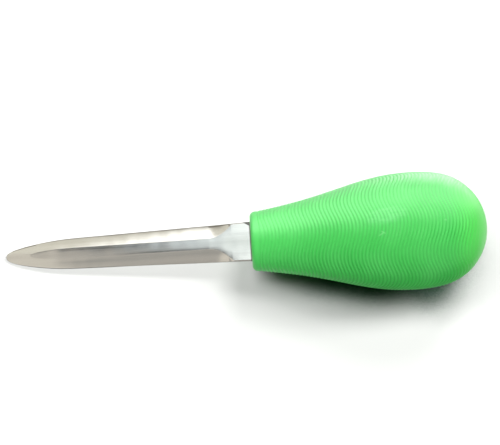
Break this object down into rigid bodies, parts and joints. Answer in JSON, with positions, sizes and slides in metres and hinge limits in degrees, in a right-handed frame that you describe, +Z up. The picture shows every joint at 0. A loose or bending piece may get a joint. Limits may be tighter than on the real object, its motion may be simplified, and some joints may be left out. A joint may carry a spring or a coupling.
{
  "type": "oyster knife",
  "caption": "Oyster knife: a blunt, double-bevelled steel blade with a leaf-shaped point, fixed in a pear-shaped moulded handle with wavy grip ridges.",
  "frame": {"origin": "centre of the footprint of the knife as it lies on a table: on the surface, under the middle of its length and width", "axes": "+X runs from the blade's point to the butt of the handle, +Y across the blade, +Z up from the table; the knife lies blade flat, on its point and the handle's belly, so its own axis climbs about 8.4 degrees towards +X"},
  "size_m": [0.1976, 0.0488, 0.0499],
  "materials": {
    "blade_steel": "hand-polished stainless steel with fine grinding lines",
    "handle_plastic": "satin green polypropylene with moulded ridges"
  },
  "bodies": {
    "root": {"blade": "blade_steel", "handle": "handle_plastic"}
  },
  "joints": []
}
